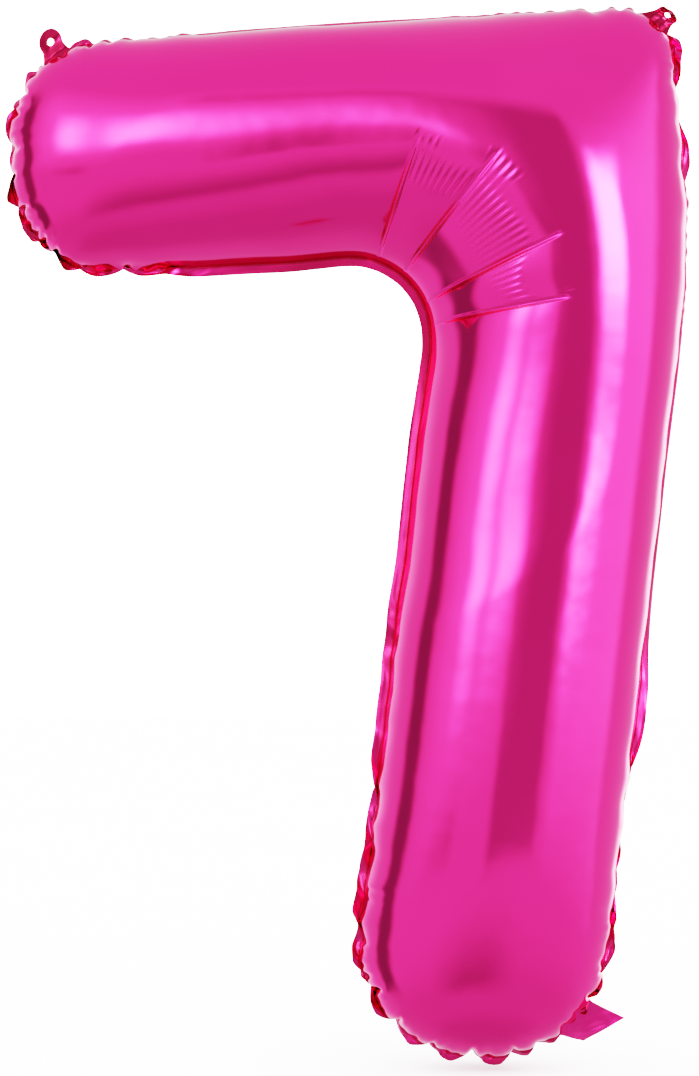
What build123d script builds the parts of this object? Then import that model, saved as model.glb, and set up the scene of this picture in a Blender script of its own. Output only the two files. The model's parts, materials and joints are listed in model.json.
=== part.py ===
"""Foil number balloon, a figure 7 about 0.86 m tall when inflated.

Two metallised film panels are heat-sealed to each other round their whole edge. Outside the gas space the
sealed margin runs all round as a thin flat lip. Two hanging tabs and the inflation neck grow out of the lip and
fold about straight lines. A flat self-sealing valve of two clear films, with a release print between them, runs
from the neck into the gas space.

Frame: millimetres, +Z up, +X to the reader's right, front panel towards -Y. The origin is on the numeral's
baseline, midway across its width, in the plane of the seal.
"""

from build123d import *
from math import acos, cos, degrees, radians, sin
import os

# ---- driving dimensions of the inflated numeral ----
arm_breadth = 188.0
leg_breadth = 199.0
arm_reach = 581.0  # where arm and leg lines meet, to the arm's free end
leg_reach = 876.0  # where arm and leg lines meet, to the foot
arm_rise = 3.8  # degrees that the arm climbs towards the outer corner
leg_lean = 6.9  # degrees that the leg leans from the vertical, foot to the left
shoulder_along_arm = 42.0  # the outer corner is cut back by a shoulder line
shoulder_along_leg = 211.0
depth_radius = 101.0  # half of the thickness, front to back

corner_round = 46.0  # outer corner, where arm and shoulder meet
end_round = 80.0  # both corners of the arm's free end
crook_round = 66.0  # inner corner
foot_round = 97.0  # both corners of the foot
shoulder_round = 600.0  # where shoulder and leg meet
crest_round = 6.0  # least rounding of an outline near a panel's crest
crest_half_flat = 9.0  # half of the arm's breadth that stays flat on the crest
levels = 8  # outlines stacked from the seal to the crest

# ---- films ----
wall = 0.8  # panel over the gas space
ply = 0.4  # panel in the lip, tabs and neck
weld = 0.4  # fused layer between two plies
valve_film = 0.15
seal_width = 7.0  # lip outside the gas space

# ---- flaps ----
fold_offset = 2.4  # gas space to fold line
fold_gap = 0.3  # air between a flap's root and the lip
flap_side_gap = 0.6  # air between a flap's sides and the lip
tab_root_width = 26.0
tab_waist_width = 15.0
tab_head_width = 20.0
tab_length = 20.5  # fold line to tip
hang_hole_radius = 3.0
left_tab_angle = 123.0  # degrees from +X, seen from the front
right_tab_angle = 45.0
neck_angle = -41.0
neck_width = 36.0
neck_length = 24.0  # fold line to mouth
neck_seal_width = 4.5
mouth_round = 2.0
valve_width = 26.0
valve_length = 95.0
print_width = 20.0  # release print between the valve films
print_length = 45.0

half_weld = weld / 2
half_stack = half_weld + ply
fold_back = half_stack + fold_gap  # from a fold line back to the lip
crest_inset = arm_breadth / 2 - crest_half_flat
crest_angle = degrees(acos(1 - crest_inset / depth_radius))


def toward(angle, distance=1.0):
    """A step in the seal plane, as (X, Z), at an angle in degrees from +X towards +Z."""
    return Vector(cos(radians(angle)), sin(radians(angle))) * distance


def seal_plane(y):
    """The plane of the seal, moved back by y."""
    return Plane.XZ.offset(-y)


# ---- the numeral's outline, in the seal plane ----
def gas_space_corners():
    """Sharp corners of the gas space, anticlockwise from the outer corner; (0, 0) is where arm and leg lines meet."""
    opening = sin(radians(90 - arm_rise - leg_lean))
    along_arm, along_leg = toward(180 + arm_rise), toward(270 - leg_lean)
    across_arm, across_leg = toward(270 + arm_rise), toward(180 - leg_lean)
    return [
        along_arm * shoulder_along_arm,
        along_arm * arm_reach,
        along_arm * arm_reach + across_arm * arm_breadth,
        along_arm * (leg_breadth / opening) + along_leg * (arm_breadth / opening),
        along_leg * leg_reach + across_leg * leg_breadth,
        along_leg * leg_reach,
        along_leg * shoulder_along_leg,
    ]


def corners(inset):
    """The same corners with every side moved inwards."""
    points = gas_space_corners()
    sides = [(points[(i + 1) % 7] - points[i]).normalized() for i in range(7)]
    inward = [Vector(-side.Y, side.X) for side in sides]
    moved = []
    for i, point in enumerate(points):
        before, after = inward[i - 1], inward[i]
        moved.append(point + (before + after) * (inset / (1 + before.dot(after))))
    return moved


def roundings(inset):
    """Corner radii of the inset outline, in the order of corners()."""
    outward = [corner_round, end_round, end_round, 0, foot_round, foot_round, shoulder_round]
    radii = [max(radius - inset, crest_round) for radius in outward]
    radii[3] = crook_round + inset
    return radii


def outline(inset, shift=Vector(0, 0)):
    """The rounded 7 as a face, its edge inset from the edge of the gas space."""
    with BuildSketch() as shape:
        with BuildLine():
            points = [corner + shift for corner in corners(inset)]
            FilletPolyline(*points, radius=roundings(inset), close=True)
        make_face()
    return shape.sketch


lip_box = outline(-seal_width).bounding_box()
home = Vector(-lip_box.center().X, -lip_box.min.Y)  # puts the origin mid-width on the baseline


def flap_site(corner_index, rounding, angle):
    """A fold line's middle, its local +X pointing out of the lip, at a rounded corner of the 7."""
    centre = corners(rounding)[corner_index] + home
    middle = centre + toward(angle, rounding + fold_offset)
    return Location((middle.X, middle.Y, 0), (0, 0, angle))


left_tab_site = flap_site(1, end_round, left_tab_angle)
right_tab_site = flap_site(0, corner_round, right_tab_angle)
neck_site = flap_site(5, foot_round, neck_angle)


def strip(width, start, end):
    """A rectangle centred across a flap, from start to end along it."""
    with BuildSketch() as shape:
        with Locations((start, 0)):
            Rectangle(end - start, width, align=(Align.MIN, Align.CENTER))
    return shape.sketch


def sealed_edge():
    """The lip as a face, cut back to a straight edge behind each flap."""
    with BuildSketch() as shape:
        add(outline(-seal_width, home))
        with Locations(left_tab_site, right_tab_site):
            add(strip(tab_root_width + 2 * flap_side_gap, -fold_back, tab_length), mode=Mode.SUBTRACT)
        with Locations(neck_site):
            add(strip(neck_width + 2 * flap_side_gap, -fold_back, neck_length), mode=Mode.SUBTRACT)
    return shape.sketch


def puffed(start_inset, radius):
    """Closed solid on one side of the seal: rounded outlines stacked on a circular profile, towards +Y."""
    with BuildPart() as body:
        for level in range(levels + 1):
            angle = radians(crest_angle * level / levels)
            inset = start_inset + radius * (1 - cos(angle))
            with BuildSketch(seal_plane(half_weld + radius * sin(angle))):
                add(outline(inset, home))
        loft()
    return body.part


def flap(shape, width, site):
    """A double-ply flap of the given outline with a rounded root along its fold line."""
    with BuildPart() as body:
        with BuildSketch(seal_plane(half_stack)):
            with Locations(site):
                add(shape)
        extrude(amount=2 * half_stack)
        outward = toward(site.orientation.Z)
        along = toward(site.orientation.Z + 90)
        root = Plane(
            origin=(site.position.X, 0, site.position.Y),
            x_dir=(outward.X, 0, outward.Y),
            z_dir=(along.X, 0, along.Y),
        )
        with BuildSketch(root):
            Circle(half_stack)
        extrude(amount=width / 2, both=True)
    return body.part


# ---- panels: one dome over the gas space, one ply over the lip ----
with BuildPart() as back_panel:
    with BuildSketch(seal_plane(half_stack)):
        add(sealed_edge())
    extrude(amount=ply)
    add(puffed(0, depth_radius))
    add(puffed(wall, depth_radius - wall), mode=Mode.SUBTRACT)

with BuildPart() as front_panel:
    add(mirror(back_panel.part, about=Plane.XZ))

# ---- fused layer between the two plies, open for the valve ----
with BuildPart() as heat_seal_band:
    with BuildSketch(seal_plane(half_weld)):
        add(sealed_edge())
        add(outline(wall, home), mode=Mode.SUBTRACT)
        with Locations(neck_site):
            add(strip(valve_width, -3 * seal_width, 0), mode=Mode.SUBTRACT)
    extrude(amount=weld)

# ---- hanging tabs: waisted flaps with a punched hole in a round head ----
head_radius = tab_head_width / 2
head_reach = tab_length - head_radius

with BuildSketch() as tab_shape:
    with BuildLine():
        right_side = Spline(
            (0, -tab_root_width / 2),
            (head_reach / 2, -tab_waist_width / 2),
            (head_reach, -head_radius),
            tangents=[(0, 1), (1, 0)],
        )
        mirror(right_side, about=Plane.XZ)
        Line((0, tab_root_width / 2), (0, -tab_root_width / 2))
        Line((head_reach, -head_radius), (head_reach, head_radius))
    make_face()
    with Locations((head_reach, 0)):
        Circle(head_radius)
        Circle(hang_hole_radius, mode=Mode.SUBTRACT)

with BuildPart() as hang_tab_left:
    add(flap(tab_shape.sketch, tab_root_width, left_tab_site))

with BuildPart() as hang_tab_right:
    add(flap(tab_shape.sketch, tab_root_width, right_tab_site))

# ---- inflation neck: two plies joined along both sides, open between ----
with BuildSketch() as neck_shape:
    add(strip(neck_width, 0, neck_length))
    fillet(neck_shape.vertices().group_by(Axis.X)[-1], mouth_round)

neck_blank = flap(neck_shape.sketch, neck_width, neck_site)


def neck_ply(low, high):
    """The neck's film between two heights off the seal plane."""
    with BuildPart() as layer:
        add(neck_blank)
        with Locations((0, (low + high) / 2, 0)):
            Box(4 * leg_reach, high - low, 4 * leg_reach, mode=Mode.INTERSECT)
    return layer.part


def neck_seal(side):
    """The fused strip between the plies along one side of the neck, side being 1 or -1."""
    with BuildSketch() as edge:
        with Locations((-half_stack, side * (neck_width - neck_seal_width) / 2)):
            Rectangle(neck_length + half_stack, neck_seal_width, align=(Align.MIN, Align.CENTER))
    with BuildPart() as seal:
        add(neck_ply(-half_weld, half_weld))
        with BuildSketch(seal_plane(half_weld)):
            with Locations(neck_site):
                add(edge.sketch)
        extrude(amount=weld, mode=Mode.INTERSECT)
    return seal.part


with BuildPart() as neck_front_ply:
    add(neck_ply(-half_stack, -half_weld))

with BuildPart() as neck_back_ply:
    add(neck_ply(half_weld, half_stack))

with BuildPart() as neck_seal_upper:
    add(neck_seal(1))

with BuildPart() as neck_seal_lower:
    add(neck_seal(-1))


# ---- self-sealing valve ----
def valve_layer(width, length, low, high):
    """A flat strip of the valve, from the neck's fold line into the gas space."""
    with BuildPart() as layer:
        with BuildSketch(seal_plane(high)):
            with Locations(neck_site):
                add(strip(width, -length, -fold_back))
        extrude(amount=high - low)
    return layer.part


print_face = half_weld - valve_film  # half of the release print's thickness

with BuildPart() as valve_film_front:
    add(valve_layer(valve_width, valve_length, -half_weld, -print_face))

with BuildPart() as valve_film_back:
    add(valve_layer(valve_width, valve_length, print_face, half_weld))

with BuildPart() as valve_release_print:
    add(valve_layer(print_width, print_length, -print_face, print_face))

# ---- hand over ----
front_panel.part.label = "front_panel"
back_panel.part.label = "back_panel"
heat_seal_band.part.label = "heat_seal_band"
hang_tab_left.part.label = "hang_tab_left"
hang_tab_right.part.label = "hang_tab_right"
neck_front_ply.part.label = "neck_front_ply"
neck_back_ply.part.label = "neck_back_ply"
neck_seal_upper.part.label = "neck_seal_upper"
neck_seal_lower.part.label = "neck_seal_lower"
valve_film_front.part.label = "valve_film_front"
valve_film_back.part.label = "valve_film_back"
valve_release_print.part.label = "valve_release_print"

os.makedirs("parts", exist_ok=True)
export_step(front_panel.part, "parts/front_panel.step")
export_step(back_panel.part, "parts/back_panel.step")
export_step(heat_seal_band.part, "parts/heat_seal_band.step")
export_step(hang_tab_left.part, "parts/hang_tab_left.step")
export_step(hang_tab_right.part, "parts/hang_tab_right.step")
export_step(neck_front_ply.part, "parts/neck_front_ply.step")
export_step(neck_back_ply.part, "parts/neck_back_ply.step")
export_step(neck_seal_upper.part, "parts/neck_seal_upper.step")
export_step(neck_seal_lower.part, "parts/neck_seal_lower.step")
export_step(valve_film_front.part, "parts/valve_film_front.step")
export_step(valve_film_back.part, "parts/valve_film_back.step")
export_step(valve_release_print.part, "parts/valve_release_print.step")
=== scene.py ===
"""A foil numeral 7, blown up inside Blender.

A flat pattern is found whose seam inflates to the CAD's outline. It is filled with gas as a net of
triangles, and the settled net is dressed as mirror film.
"""

import json
from functools import partial
from math import acos, atan2, cos, degrees, pi, radians, sin, sqrt, tan

import bpy
import numpy as np
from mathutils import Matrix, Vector
from mathutils.geometry import delaunay_2d_cdt


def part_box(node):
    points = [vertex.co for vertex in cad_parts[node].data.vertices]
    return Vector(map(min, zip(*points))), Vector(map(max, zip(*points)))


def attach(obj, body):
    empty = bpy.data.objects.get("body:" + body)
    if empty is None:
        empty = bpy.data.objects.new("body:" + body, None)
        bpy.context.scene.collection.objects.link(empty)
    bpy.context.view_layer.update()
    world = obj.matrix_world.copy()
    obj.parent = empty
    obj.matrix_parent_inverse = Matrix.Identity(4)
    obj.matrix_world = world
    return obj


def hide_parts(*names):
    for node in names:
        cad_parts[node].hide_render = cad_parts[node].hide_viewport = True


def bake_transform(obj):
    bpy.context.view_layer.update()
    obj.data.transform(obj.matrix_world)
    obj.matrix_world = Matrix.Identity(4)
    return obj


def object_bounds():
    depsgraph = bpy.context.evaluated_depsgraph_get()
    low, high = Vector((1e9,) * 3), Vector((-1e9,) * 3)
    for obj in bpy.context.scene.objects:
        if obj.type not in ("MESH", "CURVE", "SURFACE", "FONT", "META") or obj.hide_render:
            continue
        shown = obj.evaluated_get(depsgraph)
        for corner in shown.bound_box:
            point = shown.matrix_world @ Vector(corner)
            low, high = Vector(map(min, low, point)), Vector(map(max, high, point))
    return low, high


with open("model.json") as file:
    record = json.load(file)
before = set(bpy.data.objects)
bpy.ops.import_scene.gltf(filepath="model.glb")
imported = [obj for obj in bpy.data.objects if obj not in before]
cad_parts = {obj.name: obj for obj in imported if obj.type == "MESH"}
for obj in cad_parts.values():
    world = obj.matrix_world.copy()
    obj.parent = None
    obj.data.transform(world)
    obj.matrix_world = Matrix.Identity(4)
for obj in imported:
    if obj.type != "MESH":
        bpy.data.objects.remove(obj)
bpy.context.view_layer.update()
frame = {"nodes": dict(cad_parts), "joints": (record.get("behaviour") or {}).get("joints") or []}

MM = 0.001

# ---- the inflated seam and its cut, in millimetres in the plane of the seal ----
ARM_BREADTH, LEG_BREADTH = 188.0, 199.0
ARM_REACH, LEG_REACH = 581.0, 876.0
ARM_RISE, LEG_LEAN = 3.8, 6.9
SHOULDER_ARM, SHOULDER_LEG = 42.0, 211.0
ROUNDINGS = (46.0, 80.0, 80.0, 66.0, 97.0, 97.0, 600.0)
CUT_ROUNDINGS = (95.0, 125.0, 125.0, 77.0, 148.0, 148.0, 500.0)
CROOK = 3  # the place of the crook, which is the inner corner, in these lists
SEAL_WIDTH = 7.0  # lip in the CAD
LIP_WIDTH = 8.0  # lip of the film, before it ruffles
ELBOW_OPENING = 12.8  # degrees the arm swings down as the gas goes in
DRAW_IN = 55.0  # how far the seam moves in as the gas goes in

# ---- roots of the left tab, the right tab and the neck: rounded corner, angle, width ----
FLAPS = ((1, 123.0, 26.0), (0, 45.0, 26.0), (5, -41.0, 36.0))
FOLD_OFFSET = 2.4  # gas space to fold line
FLAP_EASE = 4.0  # beside a root, over which the lip comes back to its full width

# ---- how well the film keeps its length: 1 round the crook, where it creases, less elsewhere ----
FIRM_FAR = 0.15
FIRM_CENTRE = 30.0  # from the cut's inner corner, outwards into the film
FIRM_REACH = 150.0

# ---- creases that radiate from the crook's centre: angle in degrees and reach in mm ----
CREASES = ((71.0, 170.0), (50.5, 188.0), (25.0, 188.0), (9.0, 179.0))


def way(angle):
    return np.array([cos(radians(angle)), sin(radians(angle))])


def seam_corners(rise):
    """Sharp corners of the gas space, anticlockwise from the outer corner.

    The arm's top line and the leg's outer line meet at (0, 0).
    """
    arm, leg = way(180 + rise), way(270 - LEG_LEAN)
    below, left = way(270 + rise), way(180 - LEG_LEAN)
    opening = sin(radians(90 - rise - LEG_LEAN))
    return np.array([
        arm * SHOULDER_ARM,
        arm * ARM_REACH,
        arm * ARM_REACH + below * ARM_BREADTH,
        arm * (LEG_BREADTH / opening) + leg * (ARM_BREADTH / opening),
        leg * LEG_REACH + left * LEG_BREADTH,
        leg * LEG_REACH,
        leg * SHOULDER_LEG,
    ])


def grown(points, distance):
    """An anticlockwise polygon with every side moved outwards."""
    side = np.roll(points, -1, 0) - points
    side /= np.linalg.norm(side, axis=1)[:, None]
    out = np.stack([side[:, 1], -side[:, 0]], 1)
    before = np.roll(out, 1, 0)
    return points + distance * (before + out) / (1 + (before * out).sum(1))[:, None]


def fillet_centre(points, i, radius):
    """The centre of the rounding at corner i, and the ways and half angle of its two sides."""
    a, b = points[i - 1] - points[i], points[(i + 1) % len(points)] - points[i]
    a, b = a / np.linalg.norm(a), b / np.linalg.norm(b)
    half = acos(np.clip(a @ b, -1, 1)) / 2
    return points[i] + (a + b) / np.linalg.norm(a + b) * radius / sin(half), a, b, half


def rounded_outline(points, roundings, counts=None):
    """Points along the rounded outline about 1 mm apart, and how many each stretch took."""
    fillets = []
    for i, radius in enumerate(roundings):
        centre, a, b, half = fillet_centre(points, i, radius)
        start, end = (points[i] + side * radius / tan(half) for side in (a, b))
        fillets.append((start, end, centre, radius))
    pieces, used = [], []
    for i, (start, end, centre, radius) in enumerate(fillets):
        first = atan2(*(start - centre)[::-1])
        turn = (atan2(*(end - centre)[::-1]) - first + pi) % (2 * pi) - pi
        following = fillets[(i + 1) % len(fillets)][0]
        lengths = (abs(turn) * radius, np.linalg.norm(following - end))
        n_arc, n_run = counts[i] if counts else [max(2, round(x)) for x in lengths]
        around = first + turn * np.arange(n_arc)[:, None] / n_arc
        pieces.append(centre + radius * np.hstack([np.cos(around), np.sin(around)]))
        pieces.append(end + (following - end) * np.arange(n_run)[:, None] / n_run)
        used.append((n_arc, n_run))
    return np.vstack(pieces), used


def circular_smooth(values, width, rounds=3):
    """Running mean round a closed curve."""
    kernel = np.ones(2 * width + 1) / (2 * width + 1)
    for _ in range(rounds):
        wrapped = np.concatenate([values[-width:], values, values[:width]])
        values = np.convolve(wrapped, kernel, "valid")
    return values


def outward(curve):
    """Unit normals out of an anticlockwise closed curve."""
    along = np.roll(curve, -2, 0) - np.roll(curve, 2, 0)
    along = along / np.linalg.norm(along, axis=1)[:, None]
    return np.stack([along[:, 1], -along[:, 0]], 1)


def at(curve, place):
    """Points of a closed curve at fractional places along its list."""
    place = np.mod(place, len(curve))
    low = np.floor(place).astype(int) % len(curve)
    part = (place - np.floor(place))[:, None]
    return curve[low] * (1 - part) + curve[(low + 1) % len(curve)] * part


def smooth(value, low, high):
    t = np.clip((value - low) / (high - low), 0, 1)
    return t * t * (3 - 2 * t)


def unit(vectors):
    return vectors / (np.linalg.norm(vectors, axis=1)[:, None] + 1e-12)


class Cut:
    """The flat outline of the gas space, which is adjusted until it inflates to the wanted one."""

    def __init__(self):
        self.wanted, counts = rounded_outline(seam_corners(ARM_RISE), ROUNDINGS)
        self.corners = grown(seam_corners(ARM_RISE - ELBOW_OPENING), DRAW_IN)
        self.base, _ = rounded_outline(self.corners, CUT_ROUNDINGS, counts)
        self.base_out = outward(self.base)
        self.growth = np.zeros(len(self.base))
        self.lip_width = self.widths()
        self.refresh()

    def widths(self):
        """The lip's width all round: it is cut back where a tab or the neck grows out of it."""
        corners = seam_corners(ARM_RISE)
        width = np.full(len(self.wanted), LIP_WIDTH)
        for corner, angle, root in FLAPS:
            radius = ROUNDINGS[corner]
            middle = fillet_centre(corners, corner, radius)[0] + radius * way(angle)
            away = np.linalg.norm(self.wanted - middle, axis=1)
            width -= (LIP_WIDTH - FOLD_OFFSET) * (1 - smooth(away, root / 2, root / 2 + FLAP_EASE))
        return width

    def refresh(self, rounds=40):
        """Draws the outline from its growth, and smooths it."""
        curve = self.base + self.base_out * self.growth[:, None]
        for _ in range(rounds):
            curve = curve / 2 + (np.roll(curve, 1, 0) + np.roll(curve, -1, 0)) / 4
        self.curve, self.out = curve, outward(curve)

    def seam(self, place):
        return at(self.curve, place)

    def lip(self, place):
        return at(self.curve + self.out * self.lip_width[:, None], place)

    def firmness(self, flat):
        """How well the film keeps its length when squeezed."""
        centre = self.corners[CROOK] + way(45 + ARM_RISE) * FIRM_CENTRE
        near = np.exp(-(((flat - centre) ** 2).sum(1)) / FIRM_REACH**2)
        return FIRM_FAR + (1 - FIRM_FAR) * near


# ---- the film as a net of triangles: two panels that share the seam, and the lip outside it ----
SEAM, FRONT, BACK, EDGE, LIP = range(5)  # kinds of points
PANEL_FRONT, PANEL_BACK, MARGIN = range(3)  # kinds of triangles
SEAM_CLEARANCE = 0.62  # inner points keep this many spacings from the seam
FIRST_BULGE, FIRST_BULGE_FROM = 0.25, 60.0  # slope of the first puff, and how far in it levels off

# ---- how the gas fills it ----
GAS_SPACING = 20.0  # the first net's spacing, for which the push is 1
KEPT_SPEED = 0.95  # share of its speed that a step passes on
LATE, LATE_SPAN = 0.7, 0.3  # shares of the steps: when the push eases off, and for how long
LATE_GAS = 0.8  # share of the push that is gone by the end
BEND_STIFFNESS = 0.05  # how two joined triangles resist folding
SWEEPS = 4  # rounds of pulling the threads to length in each step
FOLDED_ARM, FOLDED_LEG = (-60, -510, -70), (-150, -520, -60)  # lip folded back: from, to, inner limit


def inside(points, curve):
    """Which points lie inside a closed curve."""
    x, y = points[:, :1], points[:, 1:]
    a = curve
    b = np.roll(a, -1, 0)
    rise = b[:, 1] - a[:, 1]
    crossing = (a[:, 1] > y) != (b[:, 1] > y)
    rise = np.where(rise == 0, 1e-9, rise)
    left = x < (b[:, 0] - a[:, 0]) * (y - a[:, 1]) / rise + a[:, 0]
    return (crossing & left).sum(1) % 2 == 1


def nearest(points, curve):
    """How far each point is from a curve's points."""
    return np.sqrt(((points[:, None] - curve[None]) ** 2).sum(2)).min(1)


def triangulated(outline, inner):
    """Triangles over the points of an outline and inside it, wound anticlockwise."""
    flat = np.vstack([outline, inner])
    loop = [(i, (i + 1) % len(outline)) for i in range(len(outline))]
    found = delaunay_2d_cdt([Vector(p) for p in flat], loop, [], 1, 1e-6)
    source = np.array([o[0] for o in found[3]])
    faces = source[np.array([list(f) for f in found[2]])]
    a, b, c = (flat[faces[:, k]] for k in range(3))
    ab, ac = b - a, c - a
    turn = ab[:, 0] * ac[:, 1] - ab[:, 1] * ac[:, 0]
    faces[turn < 0] = faces[turn < 0][:, ::-1]
    return flat, faces[np.abs(turn) > 1e-6]


def lattice(low, high, spacing):
    """Points of a triangular lattice over a box."""
    rows = []
    for r in range(int((high[1] - low[1]) / (spacing * sqrt(3) / 2)) + 1):
        x = np.arange(low[0] + (r % 2) * spacing / 2, high[0], spacing)
        rows.append(np.stack([x, np.full_like(x, low[1] + r * spacing * sqrt(3) / 2)], 1))
    return np.vstack(rows)


class Net:
    """The film's points x in space and flat in the cut, its triangles, and what kind each is."""

    def __init__(self, cut, spacing):
        curve = cut.curve
        coarse = curve[::4]
        lengths = np.linalg.norm(np.roll(curve, -1, 0) - curve, axis=1)
        run = np.concatenate([[0], np.cumsum(lengths)])
        count = int(round(run[-1] / spacing))
        place = np.interp(np.arange(count) * run[-1] / count, run, np.arange(len(run)))
        inner = lattice(curve.min(0), curve.max(0), spacing)
        inner = inner[inside(inner, coarse)]
        inner = inner[nearest(inner, coarse) > SEAM_CLEARANCE * spacing]
        flat, faces = triangulated(cut.seam(place), inner)
        n = len(inner)
        other = faces + (faces >= count) * n
        i = np.arange(count)
        j = (i + 1) % count
        o, p = i + count + 2 * n, j + count + 2 * n
        margin = np.vstack([np.stack([i, o, j], 1), np.stack([j, o, p], 1)])
        self.cut, self.spacing = cut, spacing
        self.faces = np.vstack([faces, other[:, ::-1], margin])
        counts = [len(faces), len(faces), 2 * count]
        self.sort = np.repeat([PANEL_FRONT, PANEL_BACK, MARGIN], counts)
        self.kind = np.repeat([SEAM, FRONT, BACK, EDGE], [count, n, n, count])
        self.place = np.concatenate([place, np.full(2 * n, -1.0), place])
        self.flat = np.vstack([flat, inner, cut.lip(place)])
        depth = np.minimum(nearest(self.flat, coarse), FIRST_BULGE_FROM) * FIRST_BULGE
        side = np.where(self.kind == FRONT, -1.0, np.where(self.kind == BACK, 1.0, 0.0))
        self.x = np.stack([self.flat[:, 0], side * depth, self.flat[:, 1]], 1)
        self.prepare()

    def prepare(self):
        """Lists the film's threads in groups that share no point, so that a group moves at once."""
        f = self.faces
        self.edges, edge_of = np.unique(sides(f), axis=0, return_inverse=True)
        self.edge_of = edge_of.reshape(-1)
        self.edge_groups = grouped(self.edges, len(self.x))
        self.pairs = np.vstack([opposite(f[self.sort == s]) for s in range(3)])
        self.pair_groups = grouped(self.pairs, len(self.x))
        self.measure()

    def measure(self):
        """Takes every thread's length from the flat pattern."""
        firm = self.cut.firmness(self.flat)

        def rest(pairs, groups):
            a, b = pairs.T
            length = np.linalg.norm(self.flat[a] - self.flat[b], axis=1)
            return [(a[g], b[g], length[g], (firm[a[g]] + firm[b[g]]) / 2) for g in groups]

        self.threads = rest(self.edges, self.edge_groups)
        self.bends = rest(self.pairs, self.pair_groups)

    def normals(self):
        """Area-weighted normals of the panels, out of the gas space."""
        f, x = self.faces[self.sort != MARGIN], self.x
        n = np.cross(x[f[:, 1]] - x[f[:, 0]], x[f[:, 2]] - x[f[:, 0]]) / 6
        total = np.zeros_like(x)
        for axis in range(3):
            for k in range(3):
                total[:, axis] += np.bincount(f[:, k], n[:, axis], len(x))
        return total

    def settle(self, steps, squeeze, fold=0.0):
        """Inflates step by step.

        squeeze is how well the film resists shortening, and fold how hard the lip is turned back.
        """
        speed = np.zeros_like(self.x)
        push = (self.spacing / GAS_SPACING) ** 2 / (self.spacing**2 * sqrt(3) / 2)
        folding = fold * self.turned_back() if fold else None
        for step in range(steps):
            late = max(0.0, (step / steps - LATE) / LATE_SPAN)
            before = self.x.copy()
            gas = self.normals() * (push * (1 - LATE_GAS * late))
            self.x = self.x + speed * KEPT_SPEED + gas
            if folding is not None:
                self.x[:, 1] += folding * (1 - late)
            for _ in range(SWEEPS):
                pull(self.x, self.threads, 1.0, squeeze)
                pull(self.x, self.bends, 0.0, BEND_STIFFNESS)
            speed = self.x - before

    def laid(self):
        """The net's points with its seam laid on the wanted outline."""
        turn, shift, _ = lay_on(self.x[self.kind == SEAM][:, [0, 2]], self.cut.wanted)
        laid = self.x.copy()
        laid[:, [0, 2]] = self.x[:, [0, 2]] @ turn.T + shift
        return laid

    def turned_back(self):
        """1 for the lip's points that fold back: on the arm's top and the leg's outer side."""
        x, z = self.laid()[:, [0, 2]].T
        lip = (self.kind == EDGE) | (self.kind == LIP)
        start, end, inner = FOLDED_ARM
        arm = (x < start) & (x > end) & (z > inner)
        start, end, inner = FOLDED_LEG
        leg = (z < start) & (z > end) & (x > z * tan(radians(LEG_LEAN)) + inner)
        return (lip & (arm | leg)).astype(float)

    def crease(self, depth):
        """Presses the crook's creases into both panels."""
        laid = self.laid()
        on_panel = (self.kind == FRONT) | (self.kind == BACK)
        self.x += unit(self.normals()) * (cushions(laid[:, [0, 2]]) * depth * on_panel)[:, None]

    def refine(self):
        """Splits every triangle into four; new seam points follow the cut's curve."""
        n, m = len(self.x), len(self.faces)
        e = self.edges
        mid = n + self.edge_of
        ab, bc, ca = mid[:m], mid[m : 2 * m], mid[2 * m :]
        a, b, c = self.faces.T
        least, most = np.full(len(e), MARGIN), np.full(len(e), PANEL_FRONT)
        uses = np.bincount(self.edge_of)
        np.minimum.at(least, self.edge_of, np.tile(self.sort, 3))
        np.maximum.at(most, self.edge_of, np.tile(self.sort, 3))
        on_lip = np.where(least < MARGIN, SEAM, LIP)
        kind = np.where(most == MARGIN, on_lip, np.where(least == PANEL_FRONT, FRONT, BACK))
        kind = np.where((least == MARGIN) & (uses == 1), EDGE, kind)
        size = len(self.cut.curve)
        first, second = self.place[e[:, 0]], self.place[e[:, 1]]
        halfway = first + ((second - first + size / 2) % size - size / 2) / 2
        place = np.where((kind == SEAM) | (kind == EDGE), np.mod(halfway, size), -1.0)
        flat = (self.flat[e[:, 0]] + self.flat[e[:, 1]]) / 2
        flat[kind == SEAM] = self.cut.seam(place[kind == SEAM])
        flat[kind == EDGE] = self.cut.lip(place[kind == EDGE])
        self.faces = quartered(a, b, c, ab, bc, ca)
        self.sort = np.tile(self.sort, 4)
        self.x = np.vstack([self.x, (self.x[e[:, 0]] + self.x[e[:, 1]]) / 2])
        self.flat = np.vstack([self.flat, flat])
        self.kind = np.concatenate([self.kind, kind])
        self.place = np.concatenate([self.place, place])
        self.spacing /= 2
        self.prepare()

    def recut(self, rounds=300):
        """Moves the flat pattern to the cut's present outline."""
        on_seam, on_edge = self.kind == SEAM, self.kind == EDGE
        fixed = on_seam | on_edge
        shift = np.zeros_like(self.flat)
        shift[on_seam] = self.cut.seam(self.place[on_seam]) - self.flat[on_seam]
        shift[on_edge] = self.cut.lip(self.place[on_edge]) - self.flat[on_edge]
        a, b = self.edges.T
        n = len(self.x)
        share = np.bincount(a, minlength=n) + np.bincount(b, minlength=n)
        for _ in range(rounds):
            for axis in range(2):
                s = shift[:, axis]
                mean = (np.bincount(a, s[b], n) + np.bincount(b, s[a], n)) / share
                shift[~fixed, axis] = mean[~fixed]
        self.flat = self.flat + shift
        self.measure()


def sides(faces):
    """The two ends of every triangle's first sides, then second, then third, lower end first."""
    return np.sort(np.vstack([faces[:, [0, 1]], faces[:, [1, 2]], faces[:, [2, 0]]]), 1)


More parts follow.
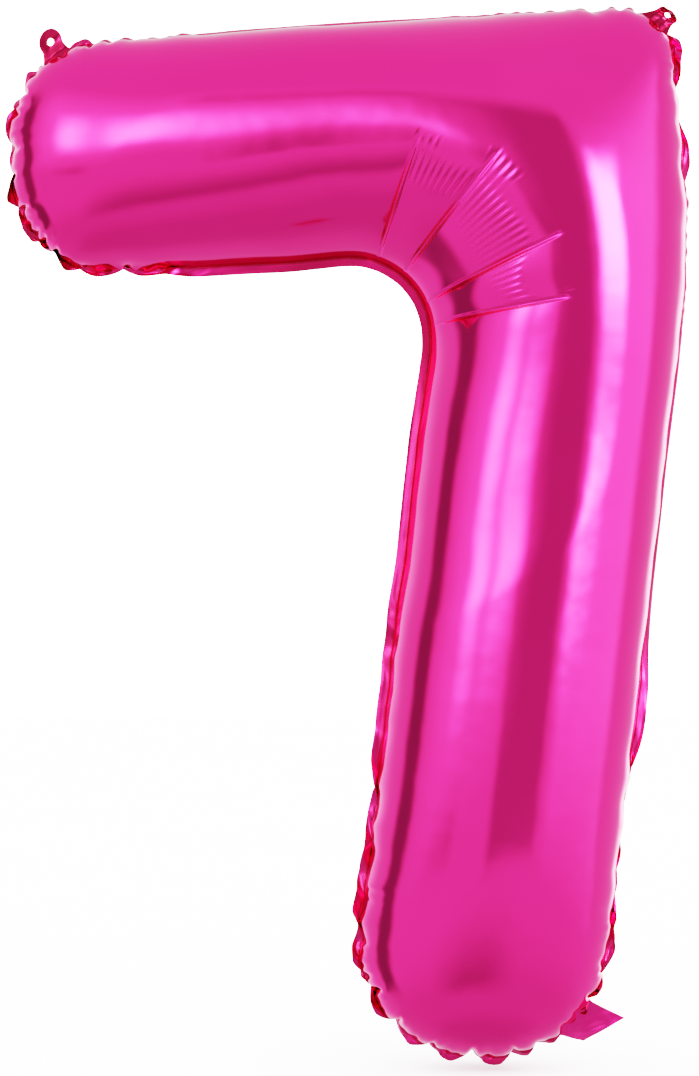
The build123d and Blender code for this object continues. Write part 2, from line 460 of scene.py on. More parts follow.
def quartered(a, b, c, ab, bc, ca):
    """Four triangles for each, from its corners and the middles of its sides."""
    parts = ((a, ab, ca), (ab, b, bc), (ca, bc, c), (ab, bc, ca))
    return np.vstack([np.stack(part, 1) for part in parts])


def opposite(faces):
    """Pairs of points across each inner edge of a panel."""
    e = sides(faces)
    facing = np.concatenate([faces[:, 2], faces[:, 0], faces[:, 1]])
    order = np.lexsort((e[:, 1], e[:, 0]))
    e, facing = e[order], facing[order]
    same = np.all(e[1:] == e[:-1], 1)
    return np.stack([facing[:-1][same], facing[1:][same]], 1)


def grouped(pairs, count):
    """Indices of the pairs in groups within which no point is used twice."""
    used = [0] * count
    group = np.zeros(len(pairs), int)
    for k, (a, b) in enumerate(pairs.tolist()):
        taken = used[a] | used[b]
        g = 0
        while taken >> g & 1:
            g += 1
        used[a] |= 1 << g
        used[b] |= 1 << g
        group[k] = g
    return [np.flatnonzero(group == g) for g in range(group.max() + 1)]


def pull(x, groups, longer, shorter):
    """Moves each pair of points back towards its flat distance."""
    for a, b, length, firm in groups:
        d = x[a] - x[b]
        now = np.sqrt(np.einsum("ij,ij->i", d, d)) + 1e-9
        share = (now - length) / now / 2
        d *= (share * np.where(share > 0, longer, shorter * firm))[:, None]
        x[a] -= d
        x[b] += d


def lay_on(points, wanted, rounds=12):
    """Turn and shift that lay points on a curve, and how far inside it each still is."""
    out = outward(wanted)
    turn, shift = np.eye(2), np.zeros(2)
    for _ in range(rounds):
        now = points @ turn.T + shift
        match = ((now[:, None] - wanted[None, ::3]) ** 2).sum(2).argmin(1) * 3
        target = now + out[match] * ((wanted[match] - now) * out[match]).sum(1)[:, None]
        pc, tc = points.mean(0), target.mean(0)
        u, _, v = np.linalg.svd((points - pc).T @ (target - tc))
        flip = np.diag([1, np.sign(np.linalg.det(v.T @ u.T))])
        turn = v.T @ flip @ u.T
        shift = tc - turn @ pc
    now = points @ turn.T + shift
    match = ((now[:, None] - wanted[None]) ** 2).sum(2).argmin(1)
    return turn, shift, ((wanted[match] - now) * out[match]).sum(1)


CUT_STEP = 1.1  # how much the cut grows for each mm that the seam lies inside the wanted outline
CUT_EVENING = 22  # mm to either side over which that growth is evened out


def fit_cut(net, rounds, steps, squeeze):
    """Adjusts the cut until the balloon's seam lies on the wanted outline."""
    cut = net.cut
    for _ in range(rounds):
        seam = np.flatnonzero(net.kind == SEAM)
        seam = seam[np.argsort(net.place[seam])]
        place, size = net.place[seam], len(cut.curve)
        _, _, miss = lay_on(net.x[seam][:, [0, 2]], cut.wanted)
        around = np.concatenate([place - size, place, place + size])
        missing = np.interp(np.arange(size), around, np.tile(miss, 3))
        cut.growth += CUT_STEP * circular_smooth(missing, CUT_EVENING)
        cut.refresh()
        net.recut()
        net.settle(steps, squeeze)


CROOK_CENTRE = fillet_centre(seam_corners(ARM_RISE), CROOK, ROUNDINGS[CROOK])[0]
CREASE_START = (60, 80)  # reach over which the creases begin
CREASE_FADE = (0.72, 8)  # share of a crease's reach from which it fades, and how far past its reach
CREASE_SIDE = 5.0  # degrees over which the outermost creases fade sideways


def crook_reach(points):
    """How far each point in space is from the crook's centre, in the plane of the seal."""
    return np.hypot(*(points[:, [0, 2]] - CROOK_CENTRE).T)


def cushions(points):
    """-1 in a crease of the crook, rising to 0 midway between two of them and away from them."""
    away = points - CROOK_CENTRE
    reach = np.linalg.norm(away, axis=1)
    angle = np.degrees(np.arctan2(away[:, 1], away[:, 0]))
    dip = np.zeros(len(reach))
    for (first, _), (second, _) in zip(CREASES, CREASES[1:]):
        t = (angle - second) / (first - second)
        dip = np.where((t >= 0) & (t <= 1), 4 * t * (1 - t) - 1, dip)
    beyond = np.maximum(angle - CREASES[0][0], CREASES[-1][0] - angle)
    dip = np.where(beyond > 0, -np.exp(-beyond / CREASE_SIDE), dip)
    ends = np.interp(-angle, [-a for a, _ in CREASES], [r for _, r in CREASES])
    fading = smooth(reach, ends * CREASE_FADE[0], ends + CREASE_FADE[1])
    return dip * smooth(reach, *CREASE_START) * (1 - fading)


def inflated():
    """The net with its seam laid on the wanted outline: settled at 20 mm, then at 10, then at 5."""
    easy, firm = 0.5, 0.8  # how well the film resists being shortened, first and later
    net = Net(Cut(), GAS_SPACING)
    net.settle(350, easy)
    fit_cut(net, 6, 80, easy)
    net.refine()
    net.crease(8.0)
    net.settle(150, firm)
    fit_cut(net, 2, 60, firm)
    net.refine()
    net.crease(5.0)
    net.settle(100, firm, fold=0.05)
    net.x = net.laid()
    return net


net = inflated()


# ---- from the net to pieces in the frame ----
def lip_home():
    """How far the seam plane's own (0, 0) is from the frame's, in mm."""
    roundings = [r + SEAL_WIDTH for r in ROUNDINGS]
    roundings[CROOK] = ROUNDINGS[CROOK] - SEAL_WIDTH
    outline, _ = rounded_outline(grown(seam_corners(ARM_RISE), SEAL_WIDTH), roundings)
    low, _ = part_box("heat_seal_band")
    return np.array([low[0], low[2]]) / MM - outline.min(0)


def vertex_normals(points, faces):
    """Unit normals at the points of a mesh."""
    a, b, c = (points[faces[:, k]] for k in range(3))
    n = np.cross(b - a, c - a)
    total = np.zeros_like(points)
    for k in range(3):
        np.add.at(total, faces[:, k], n)
    return unit(total)


def smooth_split(points, faces):
    """One round of Loop's subdivision; open edges keep their own smooth curve."""
    m, n = len(faces), len(points)
    edges, which = np.unique(sides(faces), axis=0, return_inverse=True)
    which = which.reshape(-1)
    a, b = edges.T
    far = np.zeros((len(edges), points.shape[1]))
    np.add.at(far, which, points[np.concatenate([faces[:, 2], faces[:, 0], faces[:, 1]])])
    open_edge = np.bincount(which) != 2
    middle = (points[a] + points[b]) * 3 / 8 + far / 8
    middle[open_edge] = (points[a] + points[b])[open_edge] / 2
    around, ringed = np.zeros_like(points), np.zeros(n)
    rim, rimmed = np.zeros_like(points), np.zeros(n)
    for p, q in ((a, b), (b, a)):
        np.add.at(around, p, points[q])
        np.add.at(ringed, p, 1)
        np.add.at(rim, p[open_edge], points[q[open_edge]])
        np.add.at(rimmed, p[open_edge], 1)
    share = np.where(ringed == 3, 3 / 16, 3 / (8 * np.maximum(ringed, 1)))[:, None]
    moved = points * (1 - ringed[:, None] * share) + around * share
    on_rim = rimmed == 2
    moved[on_rim] = points[on_rim] * 3 / 4 + rim[on_rim] / 8
    mid = n + which
    ab, bc, ca = mid[:m], mid[m : 2 * m], mid[2 * m :]
    return np.vstack([moved, middle]), quartered(*faces.T, ab, bc, ca)


def picked(points, faces):
    """The faces' own points and the faces renumbered to them."""
    used, renumbered = np.unique(faces, return_inverse=True)
    return points[used], renumbered.reshape(faces.shape)


def piece(name, points, faces, material):
    """A smooth-shaded mesh object from points in metres."""
    mesh = bpy.data.meshes.new(name)
    mesh.from_pydata(points.tolist(), [], faces.tolist())
    mesh.shade_smooth()
    mesh.materials.append(material)
    made = bpy.data.objects.new(name, mesh)
    bpy.context.scene.collection.objects.link(made)
    return made


HOME = lip_home()
PLY_GAP = 0.15  # seal plane to the middle of either ply, at the lip's edge
CREASE_OFF_SEAM = (68, 96)  # reach over which a panel's creases begin, clear of its seam
IRONED = (190, 240)  # reach over which the smoothing round the crook fades out
IRONING = 0.6  # how far each round of smoothing moves a point to the middle of its neighbours


def lip_surface():
    """The lip's middle surface, split once, its normals, and how far out each point is, 0 to 1."""
    faces = net.faces[net.sort == MARGIN]
    out = np.where(net.kind == EDGE, 1.0, np.where(net.kind == LIP, 0.6, 0.0))
    points, faces = picked(np.hstack([net.x, out[:, None]]), faces)
    points, faces = smooth_split(points, faces)
    return points[:, :3], faces, vertex_normals(points[:, :3], faces), points[:, 3:]


def framed(points):
    """Points of the seam's own plane in the frame, in metres."""
    return (points + [HOME[0], 0, HOME[1]]) * MM


def ironed(points, faces, rounds=60):
    """The points with the film round the inside corner drawn smooth; the panel's edge stays."""
    edges, uses = np.unique(sides(faces), axis=0, return_counts=True)
    a, b = edges.T
    share = 1 - smooth(crook_reach(points), *IRONED)
    share[edges[uses == 1]] = 0
    count = np.bincount(edges.ravel(), minlength=len(points))[:, None]
    for _ in range(rounds):
        around = np.zeros_like(points)
        np.add.at(around, a, points[b])
        np.add.at(around, b, points[a])
        points = points + (around / count - points) * IRONING * share[:, None]
    return points


def film(name, panel, side, crease_depth, material, lip_material):
    """One panel and its ply of the lip, side being -1 in front and 1 behind."""
    points, faces = picked(net.x, net.faces[net.sort == panel])
    points, faces = smooth_split(ironed(points, faces), faces)
    fading = smooth(crook_reach(points), *CREASE_OFF_SEAM)
    dip = cushions(points[:, [0, 2]]) * crease_depth * fading
    points = points + vertex_normals(points, faces) * dip[:, None]
    lip, lip_faces, normals, out = lip_surface()
    lip = lip - normals * out * side * PLY_GAP
    if side > 0:
        lip_faces = lip_faces[:, ::-1]
    both = np.vstack([points, lip])
    made = piece(name, framed(both), np.vstack([faces, lip_faces + len(points)]), material)
    made.data.materials.append(lip_material)
    on_lip = np.arange(len(made.data.polygons)) >= len(faces)
    made.data.polygons.foreach_set("material_index", on_lip.astype(np.int32))
    return made


def seal_ribbon(name, material):
    """The fused layer between the lip's two plies."""
    lip, faces, _, _ = lip_surface()
    made = piece(name, framed(lip), faces, material)
    thick = made.modifiers.new("fused layer", "SOLIDIFY")
    thick.thickness = PLY_GAP * MM
    thick.offset = 0
    return made


def resampled(outline, spacing):
    """Points about evenly spaced round a closed polygon."""
    closed = np.vstack([outline, outline[:1]])
    run = np.concatenate([[0], np.cumsum(np.linalg.norm(np.diff(closed, axis=0), axis=1))])
    count = int(run[-1] / spacing)
    place = np.arange(count) * run[-1] / count
    return np.stack([np.interp(place, run, closed[:, k]) for k in range(2)], 1)


def flap_net(outline, hole=None, spacing=0.8):
    """Triangles over a flap's outline, less a round hole given as (u, radius)."""
    outline = resampled(outline, spacing)
    inner = lattice(outline.min(0), outline.max(0), spacing)
    inner = inner[inside(inner, outline)]
    inner = inner[nearest(inner, outline) > 0.6 * spacing]
    if hole:
        centre, radius = np.array([hole[0], 0.0]), hole[1]
        turns = np.linspace(0, 2 * pi, 25)[:-1, None]
        rim = centre + radius * np.hstack([np.cos(turns), np.sin(turns)])
        inner = inner[np.linalg.norm(inner - centre, axis=1) > radius + 0.5 * spacing]
        inner = np.vstack([inner, rim])
    flat, faces = triangulated(outline, inner)
    if hole:
        middle = flat[faces].mean(1)
        faces = faces[np.linalg.norm(middle - centre, axis=1) > radius * 0.97]
    return flat, faces


def joint_frame(joint_name, node):
    """The fold line's middle, its way out of the lip and its way along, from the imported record."""
    joint = next(j for j in frame["joints"] if j["name"] == joint_name)
    fold, along = np.array(joint["pos_m"]), np.array(joint["axis"], float)
    out = np.cross(along, [0, 1, 0])
    low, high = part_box(node)
    if out @ ((np.array(low) + np.array(high)) / 2 - fold) < 0:
        out = -out
    return fold, out, along


def rumple(u, v, seed, size, amount):
    """Smooth seeded waves over a flap, in mm, about size long and amount high."""
    rng = np.random.default_rng(seed)
    height = np.zeros(len(u))
    for _ in range(7):
        turn, phase = rng.uniform(0, 2 * pi, 2)
        across = np.stack([u, v], 1) @ way(degrees(turn))
        height += np.sin(across * 2 * pi / (size * rng.uniform(0.6, 1.6)) + phase)
    return height * amount / 2.6


def flap(name, joint_name, node, flat, faces, shape, thickness, material):
    """A flap bent by shape(u, v) -> (u, v, w) in mm, w to the front; its root stays on the lip."""
    fold, out, along = joint_frame(joint_name, node)
    u, v, w = shape(flat[:, 0], flat[:, 1])
    points = fold + (np.outer(u, out) + np.outer(v, along) - np.outer(w, [0, 1, 0])) * MM
    made = piece(name, points, faces, material)
    film_thickness = made.modifiers.new("film", "SOLIDIFY")
    film_thickness.thickness = thickness * MM
    film_thickness.offset = 0
    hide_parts(node)
    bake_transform(made)
    return made


# ---- materials ----
class Nodes:
    """Short ways to build a node tree."""

    def __init__(self, tree):
        self.tree = tree

    def add(self, kind, **settings):
        node = self.tree.nodes.new(kind)
        for name, value in settings.items():
            setattr(node, name, value)
        return node

    def feed(self, socket, value):
        if isinstance(value, bpy.types.NodeSocket):
            self.tree.links.new(value, socket)
        elif value is not None:
            socket.default_value = value

    def math(self, operation, *values, clamp=False):
        node = self.add("ShaderNodeMath", operation=operation, use_clamp=clamp)
        for socket, value in zip(node.inputs, values):
            self.feed(socket, value)
        return node.outputs[0]

    def ramp(self, value, low, high, to_low=0.0, to_high=1.0):
        """Smooth step from low to high, mapped to to_low to to_high."""
        node = self.add("ShaderNodeMapRange", interpolation_type="SMOOTHSTEP")
        for socket, given in zip(node.inputs, (value, low, high, to_low, to_high)):
            self.feed(socket, given)
        return node.outputs[0]

    def noise(self, vector, scale, detail=2.0, roughness=0.5):
        node = self.add("ShaderNodeTexNoise")
        self.feed(node.inputs["Vector"], vector)
        self.feed(node.inputs["Scale"], scale)
        self.feed(node.inputs["Detail"], detail)
        self.feed(node.inputs["Roughness"], roughness)
        return node.outputs["Fac"]

    def total(self, values):
        result = values[0]
        for value in values[1:]:
            result = self.math("ADD", result, value)
        return result


def material(name):
    """A new material with its node helper, its shader and the place on the object."""
    made = bpy.data.materials.new(name)
    made.use_nodes = True
    nodes = Nodes(made.node_tree)
    shader = made.node_tree.nodes["Principled BSDF"]
    place = nodes.add("ShaderNodeTexCoord").outputs["Object"]
    return made, nodes, shader, place


def tinted(nodes, place, colour, other, scale):
    """A colour that drifts between two, in cloudy patches."""
    mix = nodes.add("ShaderNodeMix", data_type="RGBA")
    nodes.feed(mix.inputs[0], nodes.ramp(nodes.noise(place, scale, 3.0), 0.35, 0.65))
    mix.inputs[6].default_value = (*colour, 1)
    mix.inputs[7].default_value = (*other, 1)
    return mix.outputs[2]


# ---- bump round the crook, in metres and in degrees round its centre ----
LINE_WIDTH, LINE_DEPTH = 0.0028, 0.0014  # half width and depth of a crease's sharp line
LINE_START, LINE_FADE = (0.066, 0.078), 0.02  # reach over which it begins, and over which it ends
RIPPLE_HEIGHT, RIPPLE_TURN = 0.00022, 165.0  # height, and degrees of wave per degree of turn
RIPPLE_SWAY = 120.0  # degrees that noise moves the waves
RIPPLE_START = (0.112, 0.136)  # reach over which they begin
RIPPLE_END = ((72.0, 50.0), (0.162, 0.182))  # reach at which they end, at the first two creases
RIPPLE_FADE = (-0.004, 0.006)


def crook_ripples(nodes, place):
    """Height of the sharp crease lines and of the fine ripples between their outer ends."""
    times = partial(nodes.math, "MULTIPLY")
    x, _, z = nodes.add("ShaderNodeSeparateXYZ").outputs
    nodes.feed(x.node.inputs[0], place)
    centre = (CROOK_CENTRE + HOME) * MM
    dx, dz = nodes.math("SUBTRACT", x, centre[0]), nodes.math("SUBTRACT", z, centre[1])
    reach = nodes.math("SQRT", nodes.total([times(dx, dx), times(dz, dz)]))
    angle = nodes.math("DEGREES", nodes.math("ARCTAN2", dz, dx))
    lines = []
    for crease, end in CREASES:
        off = times(nodes.math("RADIANS", nodes.math("SUBTRACT", angle, crease)), reach)
        line = nodes.ramp(nodes.math("ABSOLUTE", off), 0.0, LINE_WIDTH, -LINE_DEPTH, 0.0)
        ending = nodes.ramp(reach, end * MM, end * MM - LINE_FADE)
        lines.append(times(line, times(nodes.ramp(reach, *LINE_START), ending)))
    sway = times(nodes.noise(place, 20.0, 0.0), RIPPLE_SWAY)
    wave = nodes.math("SINE", nodes.math("RADIANS", nodes.total([times(angle, RIPPLE_TURN), sway])))
    limit = nodes.ramp(angle, *RIPPLE_END[0], *RIPPLE_END[1])
    outer = nodes.ramp(nodes.math("SUBTRACT", limit, reach), *RIPPLE_FADE)
    band = times(nodes.ramp(reach, *RIPPLE_START), outer)
    (first, _), (last, _) = CREASES[0], CREASES[-1]
    fan = times(nodes.ramp(angle, last, last + 2), nodes.ramp(angle, first, first - 2))
    patches = nodes.ramp(nodes.noise(place, 22.0, 0.0), 0.42, 0.58)
    ripples = times(times(wave, RIPPLE_HEIGHT), times(band, fan))
    return nodes.total([*lines, times(ripples, patches)])


def bumped(nodes, shader, height, strength, distance):
    """Feeds a height to a shader's normal."""
    bump = nodes.add("ShaderNodeBump")
    bump.inputs["Strength"].default_value = strength
    bump.inputs["Distance"].default_value = distance
    nodes.feed(bump.inputs["Height"], height)
    nodes.feed(shader.inputs["Normal"], bump.outputs[0])


def foil(name, colour, other, roughness, waves, creased=False):
    """Metallised film under a clear layer: mirror-like, with waves so many metres high."""
    made, nodes, shader, place = material(name)
    nodes.feed(shader.inputs["Base Color"], tinted(nodes, place, colour, other, 6.0))
    shader.inputs["Metallic"].default_value = 1.0
    shader.inputs["Specular Tint"].default_value = (0.98, 0.62, 0.80, 1)
    shader.inputs["Coat Weight"].default_value = 0.2
    shader.inputs["Coat Roughness"].default_value = 0.08
    shader.inputs["Coat IOR"].default_value = 1.5
    gloss = nodes.ramp(nodes.noise(place, 14.0, 4.0), 0.3, 0.7, roughness * 0.8, roughness * 1.25)
    nodes.feed(shader.inputs["Roughness"], gloss)
    height = nodes.total([
        nodes.math("MULTIPLY", nodes.noise(place, 18.0, 2.0), waves),
        nodes.math("MULTIPLY", nodes.noise(place, 420.0, 2.0), waves * 0.01),
    ])
    if creased:
        height = nodes.total([height, crook_ripples(nodes, place)])
    bumped(nodes, shader, height, 1.0, 1.0)
    return made


def plastic(name, colour, other, roughness, transmission=0.0):
    """Thin valve film or ink: matt to satin, with cloudy patches and a fine grain."""
    made, nodes, shader, place = material(name)
    nodes.feed(shader.inputs["Base Color"], tinted(nodes, place, colour, other, 60.0))
    shader.inputs["Transmission Weight"].default_value = transmission
    gloss = nodes.ramp(nodes.noise(place, 300.0, 3.0), 0.3, 0.7, roughness * 0.8, roughness * 1.2)
    nodes.feed(shader.inputs["Roughness"], gloss)
    bumped(nodes, shader, nodes.noise(place, 500.0, 2.0), 0.4, 0.0002)
    return made


MAGENTA, MAGENTA_SHADE = (0.90, 0.026, 0.24), (0.87, 0.024, 0.225)
# Paler pink for the neck: painted light, the same film as the panels drawn paler for the light it
# catches.
LIT_NECK_PINK = (0.90, 0.07, 0.32)
# Darker pink for the lip: painted shade, the same film as the panels drawn darker for its shadowed
# ruffles.
SHADED_LIP_PINK = (0.68, 0.018, 0.16)
# Dark crimson for the tabs, the seal ribbon, the neck's welds and patches of the lip: painted shade,
# the same film as the panels drawn darker.
SHADED_CRIMSON, CRIMSON_SHADE = (0.50, 0.010, 0.08), (0.34, 0.006, 0.045)
panel_foil = foil("panel_foil", MAGENTA, MAGENTA_SHADE, 0.10, 0.0006, creased=True)
shaded_lip_foil = foil("shaded_lip_foil", SHADED_LIP_PINK, SHADED_CRIMSON, 0.28, 0.0002)
tab_foil = foil("tab_foil", SHADED_CRIMSON, CRIMSON_SHADE, 0.24, 0.0001)
neck_foil = foil("neck_foil", LIT_NECK_PINK, MAGENTA, 0.24, 0.0001)
shaded_seal_foil = foil("shaded_seal_foil", SHADED_CRIMSON, CRIMSON_SHADE, 0.22, 0.0002)
valve_plastic = plastic("valve_plastic", (0.86, 0.88, 0.90), (0.78, 0.80, 0.84), 0.35, 0.5)
release_ink = plastic("release_ink", (0.10, 0.15, 0.35), (0.13, 0.19, 0.40), 0.7)

# ---- the envelope ----
FRONT_CREASES, BACK_CREASES = 2.4, 1.6  # depth of the creases round the crook, in mm
front_film = film("front_film", PANEL_FRONT, -1, FRONT_CREASES, panel_foil, shaded_lip_foil)
back_film = film("back_film", PANEL_BACK, 1, BACK_CREASES, panel_foil, shaded_lip_foil)
ribbon = seal_ribbon("seal_ribbon", shaded_seal_foil)
for made, node, slot in (
    (front_film, "front_panel", "foil_front"),
    (back_film, "back_panel", "foil_back"),
    (ribbon, "heat_seal_band", "seal"),
):
    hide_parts(node)
    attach(made, "envelope")

# ---- hanging tabs ----
TAB_HEAD, TAB_LENGTH, HOLE_RADIUS = 20.0, 20.5, 3.0
TAB_START = -9.0  # the seam, from which the lip runs out into the tabs
TAB_FLARE, TAB_WAIST = 8.5, 0.6  # how far a side stands out at the root, and is drawn in above it
HEAD_REACH = TAB_LENGTH - TAB_HEAD / 2
TAB_SHEET = 0.35  # thickness, front to back
LEFT_LEAN = 0.18  # how far the left tab leans sideways for each mm of its length
LEFT_CUP = 2.2  # how far its middle stands back
RIGHT_SHORTENING, RIGHT_NARROWING = 0.42, 0.20  # shares that its pleats take at the tip


def tab_outline():
    """A flared root, a waist and a round head, from the seam out."""
    t = np.linspace(0, 1, 12)[:-1]
    u = TAB_START + t * (HEAD_REACH - TAB_START - 3)
    side = np.stack([u, TAB_HEAD / 2 + TAB_FLARE * (1 - t) ** 2.2 - TAB_WAIST * t], 1)
    turns = np.radians(np.linspace(105, -105, 24))
    head = TAB_HEAD / 2 * np.stack([np.cos(turns), np.sin(turns)], 1)
    head = np.array([[HEAD_REACH, 0.0]]) + head
    return np.vstack([side, head, (side * [1, -1])[::-1]])[::-1]


def left_tab_shape(u, v):
    """Leans to one side, bows back in the middle, cups towards its tip and is lightly rumpled."""
    t = np.clip(u / TAB_LENGTH, 0, 1)
    w = -LEFT_CUP * np.sin(t * pi) + 0.012 * v**2 * t + rumple(u, v, 3, 14, 0.35) * (u > 0)
    return u * 0.99, v - LEFT_LEAN * u, w


def right_tab_shape(u, v):
    """Crumpled: pleated across, drawn in and tipped forwards."""
    t = np.clip(u / TAB_LENGTH, 0, 1)
    pleats = 1.9 * np.sin(v * 0.62 + 0.6) * (0.2 + t) + 1.8 * np.sin(u * 0.75 + v * 0.3) * t
    w = pleats + 5.0 * t**2 + rumple(u, v, 11, 11, 0.9) * t
    return u * (1 - RIGHT_SHORTENING * t), v * (1 - RIGHT_NARROWING * t) - 3.0 * t, w


tab_flat, tab_faces = flap_net(tab_outline(), hole=(HEAD_REACH, HOLE_RADIUS))
for side, shape in (("left", left_tab_shape), ("right", right_tab_shape)):
    made = flap(
        f"{side}_tab_film", f"{side}_tab_fold", f"hang_tab_{side}",
        tab_flat, tab_faces, shape, TAB_SHEET, tab_foil,
    )

# ---- inflation neck ----
NECK_WIDTH, NECK_LENGTH, NECK_SEAL = 36.0, 24.0, 4.5
NECK_START = -11.0  # a little inside the seam
NECK_SHEET, NECK_WELD = 0.3, 0.25  # thickness of a film and of a weld, front to back
PLY_OFFSET, MOUTH_GAPE = 0.25, 1.7  # half the way between the films, and what the mouth adds
NECK_BACK = 2.5  # how far the mouth stands back
MOUTH_SHEAR, NECK_LEAN = 0.36, 0.30  # the mouth's slant, and the neck's lean along the fold
NECK_FLARE = 0.35  # share that the root is wider by


def strip_outline(low, high, start, end):
    """A rectangle from start to end out of the lip, and from low to high along the fold."""
    return np.array([[start, low], [end, low], [end, high], [start, high]])


def neck_shape(side):
    """The neck leans to its upper side and its mouth gapes; side is 1 for the front film."""

    def shape(u, v):
        t = np.clip(u / NECK_LENGTH, 0, 1)
        open_share = np.clip(1 - (2 * v / (NECK_WIDTH - 2 * NECK_SEAL)) ** 2, 0, 1)
        gape = side * (PLY_OFFSET + MOUTH_GAPE * t**2 * open_share)
        w = gape - NECK_BACK * t**2 + rumple(u, v, 5, 16, 0.6) * t
        root = np.clip(u / NECK_START, 0, 1)
        out = u * (0.98 - 0.1 * t) + MOUTH_SHEAR * v * t
        return out, v * (1 + NECK_FLARE * root**1.6) + NECK_LEAN * np.maximum(u, -4.0), w

    return shape


side_out, side_in = NECK_WIDTH / 2, NECK_WIDTH / 2 - NECK_SEAL
neck_film = ((-side_out, side_out), NECK_SHEET, neck_foil, "neck_foil")
neck_weld = (NECK_WELD, shaded_seal_foil, "seal")
neck_pieces = (
    ("neck_film_front", "neck_front_ply", neck_shape(1), *neck_film),
    ("neck_film_back", "neck_back_ply", neck_shape(-1), *neck_film),
    ("neck_weld_upper", "neck_seal_upper", neck_shape(0), (side_in, side_out), *neck_weld),
    ("neck_weld_lower", "neck_seal_lower", neck_shape(0), (-side_out, -side_in), *neck_weld),
)
for name, node, shape, (low, high), thickness, foil_used, slot in neck_pieces:
    flat, faces = flap_net(strip_outline(low, high, NECK_START, NECK_LENGTH), spacing=1.0)
    made = flap(name, "neck_fold", node, flat, faces, shape, thickness, foil_used)

# ---- valve: its CAD strips stay, inside the envelope ----
for node, dress in (
    ("valve_film_front", valve_plastic),
    ("valve_film_back", valve_plastic),
    ("valve_release_print", release_ink),
):
    strip = frame["nodes"][node]
    if not strip.material_slots:
        strip.data.materials.append(dress)
    for slot in strip.material_slots:
        slot.material = dress

# ---- studio ----
FLOOR_RADIUS, FLOOR_GAP = 6.0, 0.002
ROOM_LEVEL = 0.235  # brightness of the room that the film mirrors, before its lights and gaps
BACKDROP = 1.1  # brightness of the white that the camera and the matt pieces see
low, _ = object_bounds()
bpy.ops.mesh.primitive_circle_add(
    vertices=96, radius=FLOOR_RADIUS, fill_type="NGON", location=(0, 0, low[2] - FLOOR_GAP)
)
floor = bpy.context.object
floor.name = "floor"
floor.visible_glossy = False
pale, nodes, shader, place = material("pale_floor")
two_greys = (0.93, 0.93, 0.93), (0.91, 0.91, 0.91)
nodes.feed(shader.inputs["Base Color"], tinted(nodes, place, *two_greys, 3.0))
shader.inputs["Roughness"].default_value = 0.9
shader.inputs["Specular IOR Level"].default_value = 0.1
floor.data.materials.append(pale)


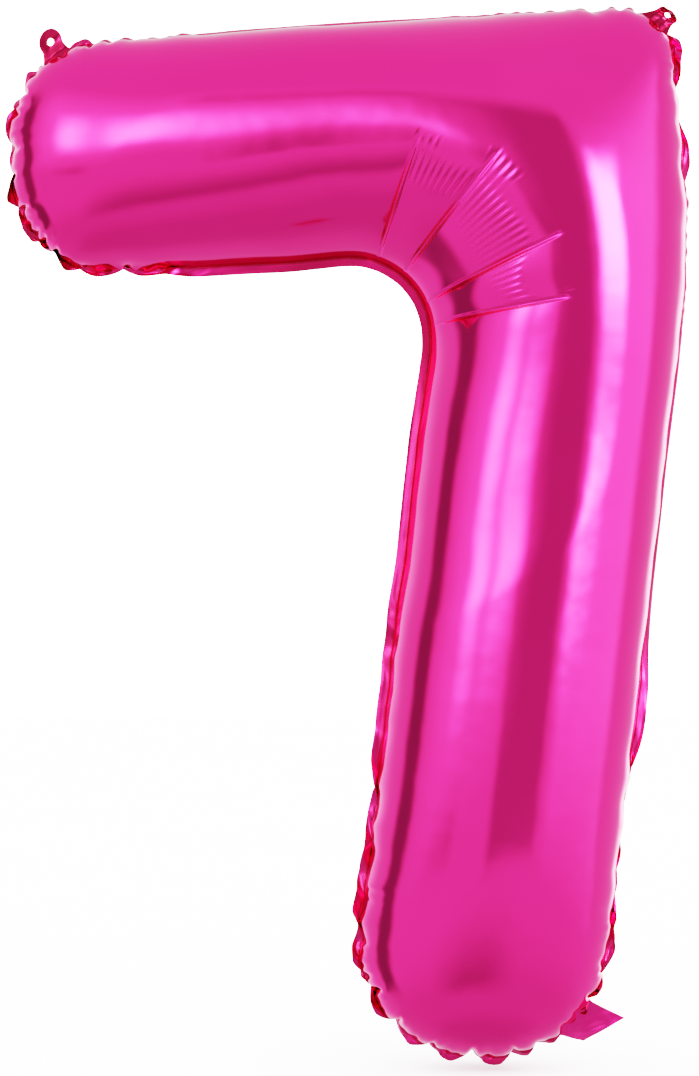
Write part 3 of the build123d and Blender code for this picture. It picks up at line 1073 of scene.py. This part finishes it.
def studio_light():
    """A pale room with a soft light to either side, and the dim gaps that the film mirrors."""
    world = bpy.data.worlds.new("studio")
    world.use_nodes = True
    bpy.context.scene.world = world
    nodes = Nodes(world.node_tree)
    nodes.tree.nodes.clear()
    split = nodes.add("ShaderNodeSeparateXYZ")
    nodes.feed(split.inputs[0], nodes.add("ShaderNodeTexCoord").outputs["Generated"])
    x, y, z = split.outputs
    turn = nodes.math("DEGREES", nodes.math("ARCTAN2", x, nodes.math("MULTIPLY", y, -1.0)))
    rise = nodes.math("DEGREES", nodes.math("ARCSINE", z))

    def patch(turns, rises, soft, power, tilts=(0.0, 0.0)):
        """A soft-edged area of the room, in degrees from the way to the camera.

        soft is how far its sides, foot and top fade, tilts the slope of its foot and its top.
        """

        def edge_ramp(value, edge, inward, fade):
            return nodes.ramp(value, edge - inward * fade, edge + inward * fade)

        left, right = (edge_ramp(turn, edge, inward, soft[0]) for edge, inward in zip(turns, (1, -1)))
        shape = nodes.math("MULTIPLY", left, right)
        for edge, inward, fade, tilt in zip(rises, (1, -1), soft[1:], tilts):
            height = nodes.math("SUBTRACT", rise, nodes.math("MULTIPLY", turn, tilt))
            shape = nodes.math("MULTIPLY", shape, edge_ramp(height, edge, inward, fade))
        return nodes.math("MULTIPLY", shape, power)

    gap = [
        patch((-11, 30), (-18, 38), (4, 3, 6), 0.125),
        patch((-64, -42), (-18.6, -5), (5, 3, 3), 0.10, tilts=(-0.19, 0.03)),
        patch((-19, -7), (33, 41), (3, 4, 4), 0.10),
        patch((-34, 12), (-49, -30), (17, 5, 14), 0.08),
    ]
    shade = gap[0]
    for other in gap[1:]:
        shade = nodes.math("MAXIMUM", shade, other)
    light = nodes.total([
        patch((-35, -15), (5, 22), (7, 6, 9), 1.5),
        patch((-57, -42), (5, 22), (7, 6, 8), 1.5),
        patch((-76, -8), (0, 36), (14, 10, 14), 0.20),
        patch((38, 60), (-2, 19), (6, 5, 6), 4.2),
        patch((38, 100), (-14, 26), (6, 10, 14), 0.20),
        patch((58, 100), (-8, 22), (9, 8, 9), 0.16),
        nodes.math("MULTIPLY", shade, -1.0),
        patch((-110, -89), (-36, 32), (5, 8, 8), -0.18),
        patch((148, 166), (-12, 24), (8, 12, 10), 0.5),
        patch((-166, -138), (-30, 30), (12, 14, 14), 0.12),
        nodes.ramp(rise, -24, -50, 0.0, -0.055),
        nodes.ramp(rise, -56, -80, 0.0, -0.04),
    ])
    room = nodes.add("ShaderNodeCombineXYZ")
    for socket in room.inputs:
        nodes.feed(socket, nodes.math("ADD", light, ROOM_LEVEL))
    rays = nodes.add("ShaderNodeLightPath").outputs
    mix = nodes.add("ShaderNodeMix", data_type="RGBA")
    plain = nodes.math("ADD", rays["Is Camera Ray"], rays["Is Diffuse Ray"], clamp=True)
    nodes.feed(mix.inputs[0], plain)
    nodes.feed(mix.inputs[6], room.outputs[0])
    mix.inputs[7].default_value = (BACKDROP, BACKDROP, BACKDROP, 1)
    background = nodes.add("ShaderNodeBackground")
    nodes.feed(background.inputs["Color"], mix.outputs[2])
    nodes.feed(nodes.add("ShaderNodeOutputWorld").inputs[0], background.outputs[0])


CONTRAST, SHOULDER = 1.4, 0.04
CURVE_STEPS, CURVE_STEP = 14, 1.5  # points on the curve, each this many times darker than the next


def print_curve():
    """Gives each colour a camera's soft shoulder and toe, so that magenta highlights turn pale."""
    view = bpy.context.scene.view_settings
    view.view_transform = "Standard"
    view.use_curve_mapping = True
    curve = view.curve_mapping.curves[3]
    for step in range(CURVE_STEPS, 0, -1):
        level = CURVE_STEP**-step
        bright = level**CONTRAST
        curve.points.new(level, (1 + SHOULDER) * bright / (bright + SHOULDER))
    view.curve_mapping.update()


studio_light()
print_curve()

# ---- camera: level, square to the numeral, the 7 filling a frame of 699 by 1076 ----
VIEW_HEIGHT = 0.8727  # metres of the seal plane from the frame's top to its bottom
VIEW_CENTRE = (0.0005, 0.4290)
CAMERA_AWAY = 3.0
SENSOR = 36.0
lens = bpy.data.cameras.new("camera")
camera = bpy.data.objects.new("camera", lens)
bpy.context.scene.collection.objects.link(camera)
bpy.context.scene.camera = camera
camera.location = (VIEW_CENTRE[0], -CAMERA_AWAY, VIEW_CENTRE[1])
camera.rotation_euler = (radians(90), 0, 0)
lens.sensor_fit = "VERTICAL"
lens.sensor_height = SENSOR
lens.lens = SENSOR * CAMERA_AWAY / VIEW_HEIGHT
